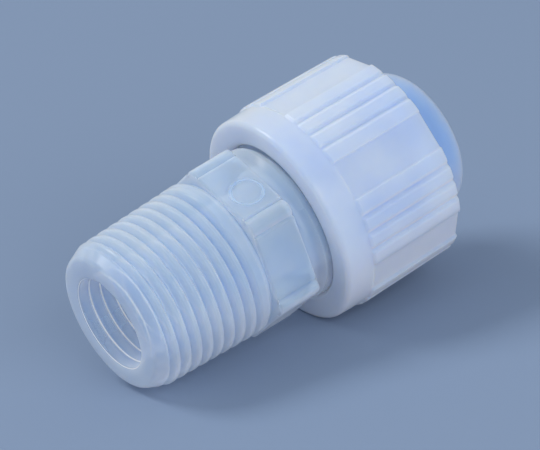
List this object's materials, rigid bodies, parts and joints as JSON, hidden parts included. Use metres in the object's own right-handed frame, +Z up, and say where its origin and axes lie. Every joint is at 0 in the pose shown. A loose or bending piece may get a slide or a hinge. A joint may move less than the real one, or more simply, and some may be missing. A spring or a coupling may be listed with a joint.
{
  "type": "fluoropolymer tube fitting, male connector",
  "caption": "Moulded translucent fluoropolymer male connector: taper pipe thread, wrench hexagon and ribbed union nut that clamps a plastic tube through a ferrule and gripper ring.",
  "frame": {"origin": "on the surface the fitting lies on, under the middle of its bounding box", "axes": "+X towards the tube end, +Z up; the fitting's own axis rises from the thread tip towards the tube end by the rest tilt of about 8.2 degrees"},
  "size_m": [0.0422, 0.0232, 0.0243],
  "materials": {
    "moulded_body": "translucent natural fluoropolymer, satin",
    "moulded_nut": "translucent natural fluoropolymer, satin",
    "moulded_ring": "translucent natural fluoropolymer, satin"
  },
  "bodies": {
    "fitting_body": {"body": "moulded_body"},
    "ferrule_set": {"ferrule": "moulded_ring", "gripper_ring": "moulded_ring"},
    "nut": {"union_nut": "moulded_nut"}
  },
  "joints": [
    {"name": "ferrule_slide", "type": "slide", "parent": "fitting_body", "child": "ferrule_set", "axis": [0.9898, 0, 0.1425], "range_m": [0, 0.0106]},
    {"name": "nut_turn", "type": "hinge", "parent": "ferrule_set", "child": "nut", "pos_m": [-0.00008, 0, 0.01096], "axis": [0.9898, 0, 0.1425], "range_deg": [0, 2520]}
  ],
  "couplings": [
    {"joint": "ferrule_slide", "follows": "nut_turn", "m_per_rad": 0.00023873}
  ]
}
